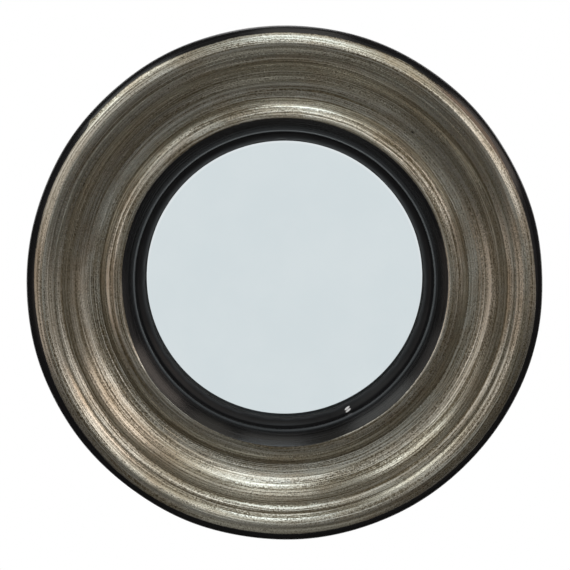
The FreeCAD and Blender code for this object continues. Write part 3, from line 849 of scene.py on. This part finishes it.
def make_world():
    """White to the camera and in reflections; a plain, even light of WORLD_LEVEL otherwise."""
    world = bpy.data.worlds.new("studio")
    world.use_nodes = True
    bpy.context.scene.world = world
    nodes, links = world.node_tree.nodes, world.node_tree.links
    nodes.clear()
    path = nodes.new("ShaderNodeLightPath")
    seen = path.outputs["Is Camera Ray"]
    for ray in ("Is Glossy Ray", "Is Transmission Ray"):
        either = nodes.new("ShaderNodeMath")
        either.operation = "MAXIMUM"
        links.new(seen, either.inputs[0])
        links.new(path.outputs[ray], either.inputs[1])
        seen = either.outputs[0]
    level = nodes.new("ShaderNodeMapRange")
    links.new(seen, level.inputs[0])
    level.inputs["To Min"].default_value = WORLD_LEVEL
    level.inputs["To Max"].default_value = 1.0
    background = nodes.new("ShaderNodeBackground")
    background.inputs["Color"].default_value = (1.0, 1.0, 1.0, 1.0)
    links.new(level.outputs[0], background.inputs["Strength"])
    links.new(background.outputs[0], nodes.new("ShaderNodeOutputWorld").inputs[0])


def direction(turn, off_axis):
    """Unit vector off_axis degrees away from the way the mirror looks, turn degrees clockwise from up."""
    a, o = math.radians(turn), math.radians(off_axis)
    return Vector((math.sin(o) * math.sin(a), -math.cos(o), math.sin(o) * math.cos(a)))


def lamp(name, turn, off_axis, distance, wide, high, radiance, colour):
    """A soft box that looks at the mirror's centre. radiance is how bright it looks, 1 is white."""
    data = bpy.data.lights.new(name, "AREA")
    data.shape = "RECTANGLE"
    data.size, data.size_y = wide, high
    data.color = colour
    data.energy = radiance * 4 * wide * high
    item = bpy.data.objects.new(name, data)
    bpy.context.scene.collection.objects.link(item)
    way = direction(turn, off_axis)
    up = direction(turn, off_axis - 90.0)
    across = up.cross(way)
    item.matrix_world = Matrix((across, up, way)).transposed().to_4x4()
    item.location = way * distance
    item.visible_camera = False
    return item


def light_only(item, piece):
    """The lamp lights that piece and nothing else."""
    receivers = bpy.data.collections.new(f"{item.name}_receivers")
    receivers.objects.link(piece)
    item.light_linking.receiver_collection = receivers


def light_all_but(item, piece):
    """The lamp lights everything but that piece."""
    light_only(item, piece)
    entry = item.light_linking.receiver_collection.collection_objects[0]
    entry.light_linking.link_state = "EXCLUDE"


def make_dome():
    """A dome of dark cloth, open behind the mirror: the leaf's dark parts show it. Only gloss sees it."""
    turns, rings, radius, reach = 48, 20, 2.4, 150.0
    vertices, faces = [], []
    for ring in range(rings + 1):
        off = reach * ring / rings + 0.5
        for turn in range(turns):
            vertices.append(direction(360.0 * turn / turns, off) * radius)
    for ring in range(rings):
        for turn in range(turns):
            nxt = (turn + 1) % turns
            a, b = ring * turns, (ring + 1) * turns
            faces.append((a + turn, a + nxt, b + nxt, b + turn))
    faces.append(tuple(range(turns)))
    piece = mesh_object("dome", vertices, faces)
    n = Nodes("dome_cloth")
    n.put("Base Color", (0.0, 0.0, 0.0, 1.0))
    n.put("Emission Color", (1.0, 0.92, 0.84, 1.0))
    n.put("Emission Strength", DOME_LEVEL)
    n.put("Specular IOR Level", 0.0)
    piece.data.materials.append(n.material)
    piece.visible_camera = False
    piece.visible_shadow = False
    piece.visible_diffuse = False


make_floor()
make_world()

# Soft boxes round the way from the mirror to the camera, most of them above it. Each row says where the
# box stands (turn and degrees off the axis, distance), how wide and high it is, its level and colour.
LAMPS = [
    ("low_left", 262.0, 50.0, 1.5, 0.6, 1.4, 0.30, (1.00, 0.82, 0.70)),
    ("left", 291.0, 50.0, 1.5, 0.55, 1.6, 0.48, (1.00, 0.93, 0.87)),
    ("upper_left", 324.0, 30.5, 1.5, 0.35, 0.7, 0.42, (0.94, 0.97, 1.00)),
    ("top_left", 318.0, 74.0, 1.5, 0.7, 1.1, 1.20, (0.98, 1.00, 0.96)),
    ("above_left", 342.0, 48.0, 1.5, 0.4, 1.9, 0.14, (1.00, 0.93, 0.71)),
    ("key_near", 5.0, 15.0, 1.5, 0.42, 0.3, 0.25, (0.80, 0.88, 1.00)),
    ("key_mid", 5.0, 27.0, 1.5, 0.45, 0.34, 1.15, (0.94, 0.97, 1.00)),
    ("key_far", 5.0, 45.0, 1.5, 0.5, 0.6, 1.80, (0.80, 0.92, 1.00)),
    ("key_top", 4.0, 80.0, 1.5, 0.6, 1.6, 0.70, (1.00, 0.97, 0.90)),
    ("above_right", 30.0, 48.0, 1.5, 0.45, 1.9, 0.54, (1.00, 0.94, 0.81)),
    ("warm_right", 62.0, 31.0, 1.5, 0.35, 0.8, 1.15, (1.00, 0.94, 0.89)),
    ("top_right", 58.0, 74.0, 1.5, 0.7, 1.1, 1.35, (1.00, 0.86, 0.76)),
    ("right", 88.0, 52.0, 1.5, 0.6, 1.5, 0.23, (1.00, 0.91, 0.85)),
    ("front", 0.0, 2.0, 1.9, 1.0, 1.0, 0.14, (0.93, 1.00, 1.00)),
    ("below", 185.0, 55.0, 1.5, 1.2, 0.9, 0.14, (1.00, 1.00, 0.89)),
]
for row in LAMPS:
    light_all_but(lamp(*row), glass)

# The mirror looks at a white card, which lights nothing else.
light_only(lamp("mirror_card", 180.0, 5.5, 0.8, 3.6, 3.6, CARD_LEVEL, (1.0, 1.0, 1.0)), glass)
make_dome()

# The photograph is taken from a little above, with a long lens.
TILT = 5.5
DISTANCE = 8.0
FRAME_WIDTH = 0.4410
SENSOR_WIDTH = 36.0
TARGET = Vector((0.0004, -0.0514, -0.0016))
camera_data = bpy.data.cameras.new("camera")
camera_data.sensor_width = SENSOR_WIDTH
camera_data.lens = SENSOR_WIDTH * DISTANCE / FRAME_WIDTH
camera_data.clip_start = 0.05
camera_data.clip_end = 60.0
camera = bpy.data.objects.new("camera", camera_data)
bpy.context.scene.collection.objects.link(camera)
back = Vector((0.0, -math.cos(math.radians(TILT)), math.sin(math.radians(TILT))))
camera.location = TARGET + back * DISTANCE
camera.rotation_mode = "QUATERNION"
camera.rotation_quaternion = (-back).to_track_quat("-Z", "Y")
bpy.context.scene.camera = camera

bpy.context.scene.view_settings.view_transform = "Standard"
